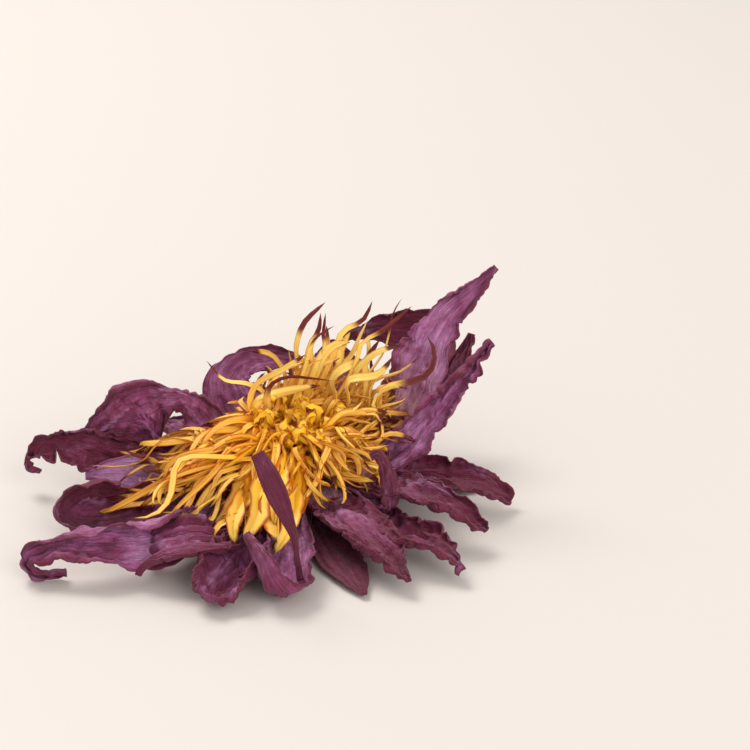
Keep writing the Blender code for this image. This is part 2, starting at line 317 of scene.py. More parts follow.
def frames_along(points, first_across):
    """The direction ahead and the direction across at each point, turning only as the curve bends."""
    ahead = np.gradient(points, axis=0)
    ahead /= np.linalg.norm(ahead, axis=1)[:, None]
    across = Vector(first_across)
    found = []
    before = Vector(ahead[0])
    for direction in map(Vector, ahead):
        across = before.rotation_difference(direction) @ across
        across = (across - direction * across.dot(direction)).normalized()
        found.append(across.copy())
        before = direction
    return ahead, np.array(found)


def turned(vectors, axes, degrees):
    """Each vector turned about its axis, both square to each other."""
    angle = np.radians(degrees)[:, None]
    return vectors * np.cos(angle) + np.cross(axes, vectors) * np.sin(angle)


def new_grid(name, rows, columns):
    """A flat grid whose X runs along a piece and whose Y runs across it, both from -1 to 1."""
    deselect_all()
    bpy.ops.mesh.primitive_grid_add(x_subdivisions=rows, y_subdivisions=columns, size=2)
    piece = bpy.context.object
    piece.name = name
    piece.data.name = name
    return piece


def round_sheet(name, around, outward):
    """A flat grid, with each point's angle round the axis and its share of the way between the edges."""
    piece = new_grid(name, around, outward)
    flat = grid_places(piece)
    return piece, (flat[:, 0] + 1) * math.pi, (flat[:, 1] + 1) / 2


def round_places(radius, angle, height):
    return np.column_stack([radius * np.cos(angle), radius * np.sin(angle), height])


def grid_places(piece):
    places = np.empty(len(piece.data.vertices) * 3)
    piece.data.vertices.foreach_get("co", places)
    return places.reshape(-1, 3)


def set_places(piece, millimetres):
    """Puts the piece's points where they belong: millimetres from the foot of the flower's axis."""
    piece.data.vertices.foreach_set("co", (millimetres * MM + AXIS).ravel())
    piece.data.update()


def set_attribute(piece, name, values):
    piece.data.attributes.new(name, "FLOAT", "POINT").data.foreach_set("value", np.asarray(values, float))


def close_seams(piece, gap):
    """Merges points that are nearer than the gap, and turns every face outward."""
    select_alone(piece)
    bpy.ops.object.mode_set(mode="EDIT")
    bpy.ops.mesh.select_all(action="SELECT")
    bpy.ops.mesh.remove_doubles(threshold=gap)
    bpy.ops.mesh.normals_make_consistent(inside=False)
    bpy.ops.object.mode_set(mode="OBJECT")


def apply_thickness(piece, thickness):
    select_alone(piece)
    wall = piece.modifiers.new("thickness", "SOLIDIFY")
    wall.thickness = thickness
    wall.offset = 0
    bpy.ops.object.modifier_apply(modifier=wall.name)
    bpy.ops.object.shade_smooth()


def finish_piece(piece, nodes, material):
    piece.data.materials.clear()
    piece.data.materials.append(material)
    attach(piece, "root")
    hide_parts(*nodes)


# ---------------------------------------------------------------- petals

# How wide a petal is at even steps along it, as a share of its width.
LANCE = (0.36, 0.62, 0.88, 1.0, 0.98, 0.86, 0.58, 0.12)
EDGE_LEAST = 0.03  # share of the width that even a petal's narrowest place keeps
PETAL_LOWEST = 0.25  # mm above the floor
PETAL_SINK = 0.2  # mm that a petal lying on the floor still rises and falls


class Petal(NamedTuple):
    """A dry petal: its midrib in mm around the flower's axis, and how it lies across it.

    Left and right are the petal's sides as seen from the ovary. A roll is how far that side
    bends up between the midrib and its edge, at the foot, the middle and the tip.
    """

    midrib: tuple
    width: float
    turn: tuple = (0, 0, 0)
    left: tuple = (20, 30, 40)
    right: tuple = (20, 30, 40)
    hem: float = 2.0  # 1 bends evenly, more keeps the bend near the edge
    outline: tuple = LANCE
    crumple: float = 0.55
    ruffle: float = 0.7
    ragged: float = 0.06
    pleats: float = 0.15
    lean: float = 0.5  # share of the width that is on the left side
    tone: float = 0.4  # 0 dark, 1 lilac
    pale: float = 0.25  # share of the length, from the foot, that is blushed


PETALS = {
    # the upper turn
    "petal_tall": Petal(
        (
            (7.7, 2.4, 9.2), (14, 4.5, 9.5), (19.5, 6.5, 13), (23, 7, 20),
            (27, 8, 31), (31, 9, 37.6), (35.8, 9.5, 42.7), (40.4, 10, 47.4),
        ),
        18,
        turn=(0, 25, 35, 40, 50), left=(20, 20, 20, 40, 200, 260), right=(10, 20, 30, 60, 120, 200),
        hem=4, outline=(0.36, 0.75, 0.95, 1.0, 0.97, 0.88, 0.72, 0.52, 0.3, 0.1), crumple=0.5,
        ruffle=0.6, ragged=0.16, tone=0.78, pale=0.55,
    ),
    "petal_back_right": Petal(
        (
            (5.1, 6.3, 9.2), (12, 13, 9.6), (20, 19, 12), (26, 24, 18),
            (29, 28, 22), (26.5, 31, 24.8), (19, 33, 24.6), (12, 34, 23), (9, 34.5, 21.5),
        ),
        13,
        left=(20, 30, 90), right=(20, 30, 90), tone=0.35,
    ),
    "petal_back": Petal(
        (
            (2.4, 7.7, 9.2), (4, 15, 9.2), (6, 23, 9.4), (7.5, 30, 12),
            (8, 34, 15.4), (6, 37.5, 17), (3, 40, 15),
        ),
        12,
        turn=(0, 0, -20), left=(20, 40, 80), right=(20, 30, 60), tone=0.35,
    ),
    "petal_back_left": Petal(
        (
            (-3.2, 7.3, 9.2), (-7, 12, 8.8), (-12, 17.5, 9.2), (-15.2, 20, 13.8),
            (-15.8, 22, 17.8), (-12.8, 25, 20.2), (-7, 27, 20.6), (-0.5, 29, 19),
        ),
        15,
        turn=(0, -30, -40, -30, -50), left=(20, 30, 50, 60), right=(20, 30, 50, 90),
        outline=(0.4, 0.8, 1.0, 1.0, 0.95, 0.75, 0.6, 0.55, 0.45, 0.2), lean=0.38, tone=0.75,
    ),
    "petal_arched": Petal(
        (
            (-7.2, 3.8, 9.2), (-11, 7, 9.6), (-14.5, 8.8, 12), (-19.5, 9.6, 17.6), (-26, 9.6, 21),
            (-34, 9.6, 20.6), (-40, 9.6, 16.4), (-44.4, 10.4, 11.5), (-46.4, 11, 8),
        ),
        27,
        turn=(0, -40, -75, -80, -75, -75, -70), left=(10, 10, 10, 10, 0, -20, 20, 60),
        right=(10, 60, 100, 120, 140, 160, 160), hem=1.6,
        outline=(0.24, 0.28, 0.38, 0.38, 0.26, 0.6, 1.0, 1.0, 0.6, 0.2, 0.16), lean=0.84, crumple=1.0,
        ruffle=1.0, ragged=0.12, tone=0.6,
    ),
    "petal_front_left": Petal(
        (
            (-4.6, -6.5, 6.4), (-8, -13.5, 4), (-11, -22, 4), (-14.5, -28.5, 6.4),
            (-19.5, -30.5, 7.8), (-25, -30.5, 6), (-28.5, -30, 2.6),
        ),
        13.5,
        turn=(0, 0, -25, -30, -25), left=(20, 30, 50, 30, 30), right=(20, 30, 40, 10, 0),
        outline=(0.3, 0.4, 0.36, 0.36, 0.6, 0.85, 1.0, 1.0, 0.95), pleats=0.55, crumple=0.45,
        ragged=0.08, tone=0.5,
    ),
    "petal_hooked": Petal(
        (
            (6.2, -5.0, 8.8), (11.5, -9.5, 8.4), (16.5, -14, 6.4), (19.3, -16.8, 7),
            (19.0, -17, 11.5), (18.4, -16.6, 16.4), (16.8, -16, 18.8), (15, -16, 18),
        ),
        7,
        left=(20, 60, 120), right=(20, 60, 120), outline=(0.6, 0.9, 1.0, 1.0, 0.8, 0.7, 0.6, 0.4),
        crumple=0.6, tone=0.3,
    ),
    # the middle turn
    "petal_ridged": Petal(
        (
            (8.0, -0.8, 7.2), (14.5, -1, 8), (19.5, -1, 11), (24, -1, 15.8),
            (30.5, 0.5, 24), (35.5, 2, 29.6), (39.6, 3, 34),
        ),
        13,
        turn=(0, 40, 60, 60, 60), left=(20, 70, 160, 220, 260), right=(10, 20, 40, 60, 90), hem=1.4,
        outline=(0.36, 0.6, 0.85, 1.0, 0.95, 0.8, 0.6, 0.3), crumple=1.2, ruffle=0.9, ragged=0.16,
        tone=0.7,
    ),
    "petal_right_back": Petal(
        ((6.6, 4.6, 6.8), (15, 10, 7), (24, 17, 8.5), (31, 23, 14), (35, 27, 20.5), (36.5, 29, 25)),
        13,
        ragged=0.12, crumple=0.8, tone=0.3,
    ),
    "petal_rear": Petal(
        ((-1.2, 8.0, 6.8), (-2, 18, 4.8), (-2, 29, 3.6), (-1, 39, 4.4), (1, 46, 3)),
        14,
        left=(20, 30, 60, 90), right=(20, 40, 60, 60), crumple=0.8, tone=0.4,
    ),
    "petal_left_back": Petal(
        ((-5.8, 5.6, 6.8), (-13, 12, 5), (-20, 18, 4), (-26, 24, 4.6), (-32, 30, 3)),
        14,
        left=(20, 30, 50, 60), right=(20, 40, 80, 120), crumple=0.8, tone=0.4,
    ),
    "petal_left": Petal(
        (
            (-7.7, 2.2, 6.8), (-14, 5.5, 7.6), (-21, 8, 8), (-30, 8.5, 7.6), (-38, 8, 8.8),
            (-45.5, 7, 11.4), (-52.5, 6, 10.4), (-55.8, 5.4, 7.4), (-55.4, 5, 4.8), (-53, 4.6, 4.6),
        ),
        13,
        turn=(0, -30, -50, -60, -60, -60), left=(10, 15, 20, 40, 60, 160),
        right=(20, 30, 60, 90, 120, 200), hem=1.6,
        outline=(0.36, 0.4, 0.35, 0.4, 0.7, 1.0, 1.0, 0.8, 0.45, 0.3), lean=0.7, crumple=1.2,
        ruffle=1.3, ragged=0.2, tone=0.25,
    ),
    "petal_long_left": Petal(
        (
            (-6.4, -4.9, 5.6), (-14, -12.5, 3.6), (-21, -20, 4), (-28, -25.5, 6.4), (-36.5, -28, 7.4),
            (-44, -29.5, 7), (-49.8, -30.5, 5.2), (-51, -31.2, 2.6), (-48, -31.8, 1.2), (-43, -32, 1.6),
        ),
        18,
        turn=(0, 0, -35, -60, -60, -60, -30), left=(20, 40, 50, 60, 60), right=(20, 60, 120, 135, 110),
        hem=0.4, outline=(0.3, 0.42, 0.5, 0.7, 0.9, 1.0, 0.95, 0.8, 0.6, 0.5, 0.45, 0.2), lean=0.6,
        crumple=0.9, ruffle=1.0, tone=0.75,
    ),
    "petal_curled": Petal(
        (
            (-1.4, -7.9, 6.6), (-1.4, -18, 4.4), (-1, -28, 3), (-1.4, -36, 2), (-2.4, -41.6, 1.6),
            (-4, -43.6, 4.2), (-5.8, -41.2, 8), (-7.4, -37.5, 10.6), (-8.2, -35.5, 11.4),
        ),
        16,
        left=(20, 30, 50, 60, 60, 30), right=(20, 50, 90, 110, 100, 60), hem=1.0,
        outline=(0.36, 0.45, 0.6, 0.8, 1.0, 0.95, 0.7, 0.4, 0.1), crumple=0.6, tone=0.62,
    ),
    "petal_front_right": Petal(
        ((3.6, -7.1, 6.7), (8.5, -17, 6.4), (14, -26, 5.6), (19, -33.5, 4), (22, -39, 3)),
        15,
        left=(20, 40, 60, 90), right=(20, 40, 90, 160), crumple=1.0, ruffle=1.2, ragged=0.14, tone=0.35,
    ),
    "petal_right_front": Petal(
        ((6.8, -4.4, 5.9), (16, -9.6, 7), (24.5, -14.5, 8.6), (32, -18.5, 7), (37.5, -21.5, 4)),
        14,
        left=(20, 50, 90, 140), right=(20, 40, 80, 120), crumple=1.1, ruffle=1.2, ragged=0.14, tone=0.3,
    ),
    # the lower turn
    "petal_low_right": Petal(
        ((8.0, 0.4, 4.4), (19, 0.5, 5), (30, -1, 6), (38, -3, 5), (44, -4, 2.4)),
        15,
        left=(20, 40, 90, 140), right=(10, 30, 50, 60), crumple=1.0, ruffle=1.2, ragged=0.14, tone=0.3,
    ),
    "petal_low_back": Petal(
        ((3.4, 7.2, 4.4), (8, 17, 3.4), (13, 27, 2.6), (18, 36, 2.6), (21, 43, 1.6)),
        13,
        crumple=0.8, tone=0.35,
    ),
    "petal_low_back_left": Petal(
        ((-3.6, 7.1, 4.4), (-9, 17, 3.2), (-15, 27, 2.4), (-20, 35, 2.4), (-24, 42, 1.6)),
        13,
        crumple=0.8, tone=0.35,
    ),
    "petal_low_left": Petal(
        ((-7.9, 0, 4.0), (-18, 1.5, 4.6), (-28, 3, 4.6), (-37, 3, 4.8), (-43.6, 2.5, 4.8)),
        9.5,
        turn=(0, -40, -60, -60), left=(10, 0, 0, 10), right=(10, 10, 20, 30),
        outline=(0.36, 0.6, 0.9, 1.0, 0.95, 0.7, 0.25), crumple=0.6, tone=1.1, pale=0.1,
    ),
    "petal_low_front_left": Petal(
        (
            (-6.8, -4.2, 5.4), (-16, -7.5, 4), (-26, -10, 2.4), (-36, -12, 1.2), (-43, -13, 1.8),
            (-46.4, -12.5, 4), (-45, -11, 6.8), (-40, -9.5, 8), (-35, -9, 7.4),
        ),
        17,
        left=(20, 20, 20, 20, 30), right=(20, 60, 90, 80, 60), hem=1.2,
        outline=(0.36, 0.6, 0.85, 1.0, 1.0, 0.9, 0.75, 0.6, 0.3), crumple=0.9, tone=0.3,
    ),
    "petal_rolled": Petal(
        (
            (-3.4, -7.2, 4.4), (-5.5, -17, 2.8), (-8, -26, 1.6), (-11, -33.5, 1), (-13, -39, 0.8),
            (-14, -43.4, 1), (-14.4, -45.8, 2.4), (-14, -46, 4),
        ),
        22,
        left=(10, 20, 60, 100, 110, 80), right=(20, 40, 80, 120, 130, 100), hem=1.2,
        outline=(0.3, 0.4, 0.5, 0.75, 1.0, 1.0, 0.9, 0.6), crumple=1.1, ruffle=1.0, ragged=0.14,
        tone=0.55,
    ),
    "petal_spike": Petal(
        (
            (1.4, -7.9, 4.2), (2, -19, 3.2), (2.3, -30, 2.4), (2.1, -37.4, 2.4), (1.6, -38.8, 6.5),
            (0.9, -38.2, 12), (-0.6, -37.1, 16), (-2.4, -35.6, 20.2), (-4.1, -34.4, 23.8),
            (-5.8, -33.4, 27.2),
        ),
        4.0,
        turn=(0, 0, 0, 10, 20, 25), left=(20, 60, 60, 15, 15), right=(20, 60, 60, 15, 15),
        outline=(0.7, 0.9, 0.8, 0.7, 0.6, 0.45, 0.3, 0.26, 0.26, 0.6, 1.02, 1.0, 0.7), crumple=0.14,
        ruffle=0.12, ragged=0.03, pleats=0.05, tone=0.45, pale=0.05,
    ),
    "petal_low_front_right": Petal(
        ((5.6, -5.8, 4.4), (12, -14, 3.6), (20, -22, 4.2), (28, -29, 4.6), (33, -34, 2.6)),
        15,
        left=(20, 50, 90, 120), right=(20, 30, 60, 120), crumple=1.1, ruffle=1.2, ragged=0.14,
        tone=0.35,
    ),
}

SEPAL = {"crumple": 0.3, "ruffle": 0.15, "left": (5, 8, 10), "right": (5, 8, 10), "tone": 0.1}
SEPALS = {
    "sepal_right": Petal(((7.4, 2.0, 2.4), (18, 4, 1.4), (30, 6, 1.0), (42, 8, 0.9)), 10, **SEPAL),
    "sepal_back": Petal(((-1.5, 7.6, 2.4), (-3, 18, 1.4), (-4, 30, 1.0), (-5, 41, 0.9)), 10, **SEPAL),
    "sepal_left": Petal(((-7.4, -2.4, 2.4), (-18, -6, 1.4), (-29, -10, 1.0), (-40, -14, 0.9)), 10, **SEPAL),
    "sepal_front": Petal(((2.4, -7.4, 2.4), (6, -18, 1.4), (10, -29, 1.0), (14, -40, 0.9)), 10, **SEPAL),
}


def roll_section(half, roll, hem, steps):
    """One side of a cross-section: the distances out and up and the angle, at each step from the midrib."""
    shares = np.linspace(0, 1, steps)
    angles = math.radians(roll) * shares**hem
    out = np.concatenate([[0], np.cumsum(np.cos((angles[1:] + angles[:-1]) / 2))]) * half / (steps - 1)
    up = np.concatenate([[0], np.cumsum(np.sin((angles[1:] + angles[:-1]) / 2))]) * half / (steps - 1)
    return out, up, angles


def crease_at(along, aside, seed):
    """Height of the dry petal's folds at a place on it, in mm: around 0, sharper on the ridges."""
    broad = noise_at(along * 0.10, aside * 0.16, seed)
    long_folds = fold_at(along * 0.11, aside * 0.42, seed + 5.3)
    short_folds = fold_at(along * 0.45, aside * 0.75, seed + 9.1)
    fine = noise_at(along * 0.9, aside * 1.9, seed + 2.7)
    sharp_folds = fold_at(along * 0.3 + broad * 2, aside * 0.33 - long_folds, seed + 14.9)
    return (
        broad * 1.1 + (long_folds - 0.5) * 0.9 + (sharp_folds - 0.5) * 0.8
        + (short_folds - 0.5) * 0.35 + fine * 0.25
    )


def left_by_tears(petal, along, side, seed):
    """Share of the petal's half width that is left where its edge is worn and torn."""
    worn = noise_at(along * 0.22, side * 7.0, seed)
    tears = 4.0 * max(0.0, noise_at(along * 0.75, side * 11.0, seed) - 0.22)
    frayed = 0.25 * noise_at(along * 2.2, side * 13.0, seed)
    return 1 - petal.ragged * (1 + worn + tears + frayed)


def lift_at(petal, along, side, share, crease, soft, seed):
    """How far a place stands off the smooth petal in mm, at this share of the way out to its edge."""
    folds = side * share * 13 + 2.5 * noise_at(along * 0.08, share * 2, seed)
    wave = noise_at(along * 0.24, side * 5.0 + share, seed + 20)
    wave += 0.25 * noise_at(along * 0.7, side * 9.0 + share, seed + 30)
    lift = petal.crumple * crease * soft * 0.8
    lift += petal.pleats * math.cos(folds) * soft
    return lift + petal.ruffle * wave * share**3 * 1.6 * soft


def shape_petal(piece, petal, seed):
    """Lays the flat grid along the petal's midrib, rolled, pleated, crumpled and torn at its edge."""
    flat = grid_places(piece)
    row_count = len(np.unique(np.round(flat[:, 0], 5)))
    column_count = len(np.unique(np.round(flat[:, 1], 5)))
    rows = np.rint((flat[:, 0] + 1) / 2 * (row_count - 1)).astype(int)
    columns = np.rint((flat[:, 1] + 1) / 2 * (column_count - 1)).astype(int)
    ribs, length = evenly_along(petal.midrib, row_count)
    level = np.cross((0, 0, 1), ribs[1] - ribs[0])
    ahead, across = frames_along(ribs, level / np.linalg.norm(level))
    turns = np.array([through(petal.turn, i / (row_count - 1)) for i in range(row_count)])
    across = turned(across, ahead, turns)
    face = np.cross(ahead, across)
    middle = (column_count - 1) // 2
    places = np.empty((row_count, column_count, 3))
    creases = np.empty((row_count, column_count))
    hems = np.empty((row_count, column_count))
    for row in range(row_count):
        share = row / (row_count - 1)
        along = share * length
        soft = min(1.0, share * 5 + 0.15)
        spread = petal.width * max(float(through(petal.outline, share)), EDGE_LEAST)
        lean = 0.5 + (petal.lean - 0.5) * min(1.0, share * 4)
        for side, rolls, half, count in (
            (1, petal.left, spread * lean, column_count - 1 - middle),
            (-1, petal.right, spread * (1 - lean), middle),
        ):
            sway = 1 + 0.25 * noise_at(along * 0.12, side * 3.0, seed)
            reach = half * left_by_tears(petal, along, side, seed)
            roll = float(through(rolls, share)) * sway
            out, up, angles = roll_section(reach, roll, petal.hem, count + 1)
            for step in range(count + 1):
                v = step / count
                crease = crease_at(along, side * v * reach, seed)
                lift = lift_at(petal, along, side, v, crease, soft, seed)
                tilt = angles[step]
                x = side * (out[step] - math.sin(tilt) * lift)
                z = up[step] + math.cos(tilt) * lift
                column = middle + side * step
                places[row, column] = ribs[row] + across[row] * x + face[row] * z
                creases[row, column] = crease
                # hem: 0 to 1 as the side rolls over past about 70 degrees, for the painted shade on
                # rolled-over edges.
                hems[row, column] = min(max((abs(tilt) - 1.2) / 1.6, 0.0), 1.0)
    places = places[rows, columns]
    floor = PETAL_LOWEST + PETAL_SINK * np.tanh(np.maximum(places[:, 2], 0))
    places[:, 2] = np.maximum(places[:, 2], floor)
    set_places(piece, places)
    # The fold heights also drive the finish's painted shade in the valleys and painted highlight on the
    # ridges.
    set_attribute(piece, "crease", creases[rows, columns])
    set_attribute(piece, "hem", hems[rows, columns])
    set_attribute(piece, "tone", np.full(len(flat), petal.tone))
    set_attribute(piece, "pale", np.clip(1 - rows / (row_count - 1) / petal.pale, -1, 1))


def add_petal(name, petal, seed, sizes, material):
    piece = new_grid(f"{name}_dry", sizes.petal_rows, sizes.petal_columns)
    shape_petal(piece, petal, seed)
    apply_thickness(piece, sizes.petal_thickness)
    finish_piece(piece, [name], material)


def petal_finish(name, colours, dark_share=0.0):
    """Dry petal: dark where it is shrunk, lilac where it is smooth, with veins along it and a paler foot;
    painted shade darkens the folds' valleys, the wrinkles and the rolled-over edges, and the folds' ridges
    turn lilac, partly as a painted highlight.
    """
    finish = Finish(name, Metallic=0.0, Specular_IOR_Level=0.35, Sheen_Weight=0.1, Sheen_Roughness=0.4)
    place = finish.place()
    along, across = finish.uv()
    crease = finish.attribute("crease")
    tone = finish.attribute("tone")
    patches = finish.cloud(place, 110, 5, 0.6, 0.6)
    mottle = finish.cloud(place, 420, 6, 0.65, 1.0)
    grain = finish.cloud(place, 2600, 3, 0.6)
    lines = finish.cloud(finish.stretched(finish.laid_flat(), (5, 46, 1)), 1.6, 4, 0.6, 0.4)
    lengthwise = finish.stretched(finish.laid_flat(), (2.5, 9, 1))
    wrinkle = finish.spread((finish.cloud(lengthwise, 1.5, 2, 0.5, 0.7) - 0.5).size(), 0.06, 0.0)
    small_wrinkle = finish.spread((finish.cloud(place, 700, 2, 0.5, 1.0) - 0.5).size(), 0.08, 0.0)
    edge = finish.spread(((across - 0.5) * 2) ** 2 + (mottle - 0.5) * 0.5, 0.5, 1.0)
    # crease * 0.12 lightens the folds' ridges and darkens their valleys: painted highlight and painted
    # shade.
    lightness = tone - along**2 * 0.3 + (patches - 0.5) * 1.3 + crease * 0.12 - edge * 0.35
    light = finish.spread(lightness, 0.1, 1.0)
    body = finish.mix(light, colours.petal_dark, colours.petal_purple)
    smoothness = tone - along * 0.6 + (patches - 0.5) * 1.1 + (mottle - 0.5) * 0.5 - edge * 0.5
    lilac = finish.spread(smoothness, 0.25, 0.95)
    body = finish.mix(lilac, body, colours.petal_lilac)
    blush = finish.spread(finish.attribute("pale") + (patches - 0.5) * 0.9, 0.0, 0.8)
    body = finish.mix(blush * finish.spread(tone, 0.1, 0.9, 0.3, 1.0), body, colours.petal_blush)
    veins = finish.spread(lines, 0.42, 0.66)
    body = finish.mix(veins * 0.35, body, colours.petal_dark)
    body = finish.mix(finish.spread(mottle, 0.55, 0.8) * 0.45, body, colours.petal_dark)
    # Painted shade along the wrinkles, which the bump below sinks as grooves.
    body = finish.mix(wrinkle * 0.12, body, colours.petal_dark)
    # Painted shade in the folds' valleys.
    body = finish.mix(finish.spread(crease, -0.2, -1.2) * 0.45, body, colours.petal_dark)
    # The folds' ridges made lilac: partly the dry petal's paler ridges, partly a painted highlight.
    body = finish.mix(finish.spread(crease, 0.5, 1.5) * 0.25, body, colours.petal_lilac)
    # Painted shade on the rolled-over edges.
    body = finish.mix(finish.attribute("hem") * 0.6, body, colours.petal_dark)
    if dark_share:
        body = finish.mix(dark_share, body, colours.petal_dark)
    finish.bump(lines * 0.5 + mottle * 0.4 + grain * 0.15 - wrinkle * 0.7 - small_wrinkle * 0.2, 0.0004, 0.8)
    return finish.finished(body, finish.spread(mottle, 0.3, 0.75, 0.5, 0.78))


# ---------------------------------------------------------------- stamens

SHEAF_COUNT = 12
# For each twelfth of a turn, from +X by the back: how far from the axis the longest stamens' tips
# reach and how high they end, in mm.
REACHES = (23, 24, 19, 14, 15, 20, 38, 43, 33, 23, 22, 24)
HEIGHTS = (14, 22, 29, 30, 25, 12, 5, 5, 6.5, 6, 8, 10)
# Degrees that the tips swing round from where the stamens grow, anticlockwise from above.
SWINGS = (0, 0, -8, -22, 0, 12, 4, -6, -18, -12, 30, 14)
LEANS_FROM = 16  # mm: tips that end higher lean towards +X
LEAN = 0.3  # mm of that lean for each mm above it
STANDS_FROM = 18  # mm: stamens that end higher stand up, and the others lie


class Whorl(NamedTuple):
    """Stamens that leave the ovary at one height."""

    count: int
    radius: float
    height: float
    reach: float  # share of the longest's
    maroon: float  # chance of a dark tip
    rear_up: float  # how far they lift before they spread
    broad: float  # of the foot


WHORLS = (
    Whorl(7, 8.3, 11.6, 1.0, 0.6, 0.1, 0.3),
    Whorl(7, 8.0, 13.0, 0.84, 0.4, 0.4, 0.4),
    Whorl(6, 7.7, 14.3, 0.64, 0.3, 0.8, 0.6),
    Whorl(4, 7.0, 15.6, 0.46, 0.15, 1.0, 0.9),
)
LONG_SHEAVES = (5, 6, 7, 8)  # at the left, where stamens reach far, so that more are needed
LONG_EXTRA = 3  # stamens added to each of their whorls
STAMEN_LOWEST = 2.2  # mm above the floor
CROWN_COUNT = 54  # lobes on the disc
CROWN_SEED = 31
SHEAF_SEED = 700
PETALOID_AZIMUTHS = (238, 241, *range(244, 273, 2))
STRAP_ROWS = 15
STRAP_COLUMNS = 4
PATH_STEPS = 40  # along a stamen, when its strap is laid
WAVER_STEPS = 24  # along a stamen, when its path is swayed
TALL_WIDEN = 1.25  # the tall stamens' widths in mm, for 1 in their list
DISC_BRIGHT = -1.5  # marks the disc for the finish, where 0 and more are stamens


class Standing(NamedTuple):
    """One of the tall stamens at the back: where it grows, and the points it then passes, in mm."""

    azimuth: float
    points: tuple
    width: float = 1.0
    maroon: float = 0.25


STANDING = (
    Standing(104, ((1.5, 8, 25.5), (0, 9, 29), (1.5, 10, 35), (6, 11, 39.5)), 1.1, 0.35),
    Standing(98, ((2, 7, 27.5), (3, 8, 31.5), (4.5, 9, 34), (5, 9, 38))),
    Standing(84, ((5.5, 8, 29), (5.5, 9, 33), (6, 9, 38)), 0.7, 0.3),
    Standing(110, ((2, 6, 28), (3, 6, 32), (5, 7, 34), (8, 7, 36)), 0.9, 0.3),
    Standing(90, ((4, 7, 25.5), (5.5, 8, 29), (8, 9, 31), (11, 9, 31.5)), 1.7, 0),
    Standing(72, ((9, 8, 25.5), (11.5, 9, 28.5), (13, 10, 32), (14.5, 11, 35.5)), 1.7, 0),
    Standing(52, ((12, 7, 27), (13.5, 7, 32), (18, 8, 34.5), (23.5, 9, 39.5)), 1.3, 0.35),
    Standing(80, ((7.5, 9, 28.5), (9.5, 11, 33), (13.5, 12, 35), (15.5, 13, 39))),
    Standing(44, ((16.5, 9, 27), (19, 10, 33.5), (19.5, 11, 36.5), (21.5, 12, 40)), 0.9, 0.3),
    Standing(60, ((11.5, 6, 21.5), (12, 6, 26), (16.5, 6, 30.5), (21, 7, 31.5)), 1.3, 0.12),
    Standing(64, ((10.5, 4, 19.5), (10.5, 4, 25), (16.5, 4, 26.5), (19.5, 5, 30)), 1.4, 0.1),
    Standing(36, ((14, 4, 17), (15.5, 4, 24.5), (21, 4, 27), (25.5, 5, 30.5)), 1.4, 0.12),
    Standing(22, ((16, 3, 18), (17.5, 2, 24), (26, 3, 26.5), (28, 4, 31), (26.5, 5, 34.5)), 1.1, 0.5),
    Standing(12, ((15.5, 2, 17), (16, 1, 22.5), (19.5, 1, 25), (23, 1, 24.5)), 1.2, 0.12),
    Standing(122, ((-2, 7, 24), (-4, 8, 28.5), (-6.5, 9, 29.5), (-9.5, 10, 29)), 1.4, 0.1),
    Standing(142, ((-6.5, 7, 20.5), (-10, 7, 23), (-15, 8, 23.5), (-18.5, 9, 27.5)), 0.9, 0.22),
    Standing(156, ((-9.5, 3, 20), (-8, 3, 25), (-3, 4, 27.5), (2, 5, 30.5)), 1.1, 0.1),
    Standing(136, ((-5.5, 0, 24.5), (-2, 0, 27.5), (2.5, 1, 27), (7.5, 2, 26)), 1.1, 0.7),
    Standing(162, ((-8.5, 2, 20.5), (-4.5, 3, 22.5), (-0.5, 3, 23.5), (5, 3, 24.5)), 1.5, 0.1),
    Standing(116, ((-4, 5, 21), (-5, 5, 24.5), (-2, 6, 27), (3, 7, 28.5)), 1.6, 0),
    Standing(100, ((-1, 8, 21), (1, 8, 25), (5, 8, 27.5), (9, 9, 28)), 1.9, 0),
    Standing(94, ((3, 9, 22), (4, 9, 26), (3, 10, 29), (4, 11, 33)), 1.6, 0),
    Standing(76, ((6, 9, 22), (9, 9, 26), (9, 10, 29), (11, 11, 33)), 1.8, 0),
    Standing(56, ((11, 8, 22), (14, 8, 26), (15, 9, 30), (14, 10, 34)), 1.4, 0.1),
    Standing(68, ((8, 5, 20), (7.5, 6, 24.5), (10.5, 7, 27), (14.5, 8, 28)), 1.8, 0),
    Standing(48, ((13, 5, 19), (14.5, 5, 24), (14, 6, 28), (17, 7, 33)), 1.2, 0.2),
)


def round_table(values, azimuth):
    """The value for this azimuth in degrees, from values at even steps round the flower."""
    steps = azimuth / 360 * len(values) % len(values)
    first = int(steps)
    share = steps - first
    share = share * share * (3 - 2 * share)
    return values[first % len(values)] * (1 - share) + values[(first + 1) % len(values)] * share


def polar(radius, azimuth, height):
    angle = math.radians(azimuth)
    return np.array([radius * math.cos(angle), radius * math.sin(angle), height])


def bezier(points, share):
    start, first, second, end = points
    rest = 1 - share
    return start * rest**3 + first * 3 * rest**2 * share + second * 3 * rest * share**2 + end * share**3


def wavered(controls, chance, size):
    """Points along the bend, swaying more and more from it."""
    sway = [chance.uniform(0, math.tau) for _ in range(3)]
    rate = [chance.uniform(0.7, 1.7) for _ in range(3)]
    path = []
    for i in range(WAVER_STEPS + 1):
        t = i / WAVER_STEPS
        waver = [math.sin(math.tau * r * t + s) - math.sin(s) for r, s in zip(rate, sway, strict=True)]
        path.append(bezier(controls, t) + np.array(waver) * size * t**0.7)
    return [np.array([*point[:2], max(point[2], STAMEN_LOWEST)]) for point in path]


